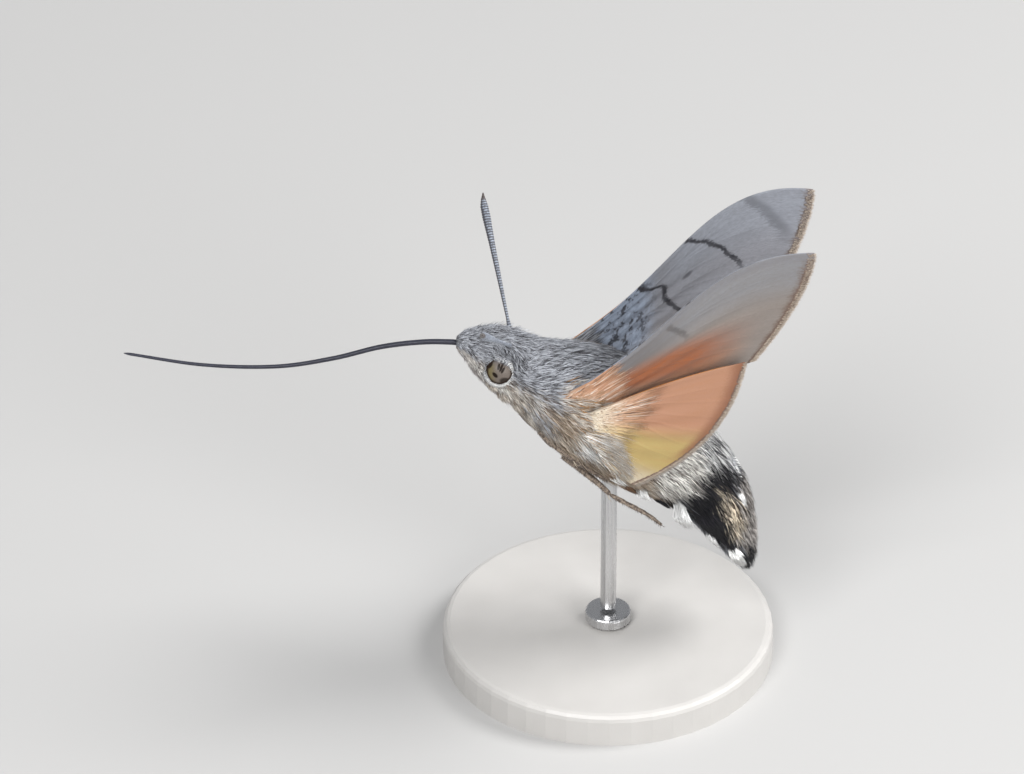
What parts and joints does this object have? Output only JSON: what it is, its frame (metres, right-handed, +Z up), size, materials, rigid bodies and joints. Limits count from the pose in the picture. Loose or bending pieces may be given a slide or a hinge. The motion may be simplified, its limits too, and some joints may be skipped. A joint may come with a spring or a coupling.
{
  "type": "hummingbird hawk moth",
  "caption": "Life-size hummingbird hawk moth hovering with raised wings and uncoiled proboscis, held over a plain round display stand.",
  "frame": {"origin": "centre of the underside of the stand's round base", "axes": "+X towards the moth's tail and wing tips, so the proboscis points to -X; +Y to the moth's right; +Z up"},
  "size_m": [0.0477, 0.023, 0.0371],
  "materials": {
    "coat": "soft matt scales and fine hair, grey brown above and cream beneath",
    "tail_hair": "flat black hair locks with white side tufts",
    "eye": "olive brown with fine facets and a soft gloss",
    "palp": "pale close scales",
    "proboscis": "blue black horn with a satin gloss",
    "antenna": "dark rings with blue grey scales",
    "forewing": "dusty grey scales with dark wavy lines above, rust and beige beneath",
    "hindwing": "orange scales shading to yellow at the inner edge and brown at the margin",
    "leg": "brown horn with short scales and fine spines",
    "stand_base": "plain satin paint",
    "stand_rod": "plain drawn steel"
  },
  "bodies": {
    "root": {"head": "coat", "thorax": "coat", "abdomen": "coat", "tail_fan": "tail_hair", "eye_left": "eye", "eye_right": "eye", "palp_left": "palp", "palp_right": "palp", "proboscis": "proboscis", "antenna_left": "antenna", "antenna_right": "antenna", "forewing_left": "forewing", "forewing_right": "forewing", "hindwing_left": "hindwing", "hindwing_right": "hindwing", "foreleg_left": "leg", "foreleg_right": "leg", "midleg_left": "leg", "midleg_right": "leg", "hindleg_left": "leg", "hindleg_right": "leg", "stand_base": "stand_base", "stand_collar": "stand_rod", "stand_rod": "stand_rod"}
  },
  "joints": []
}
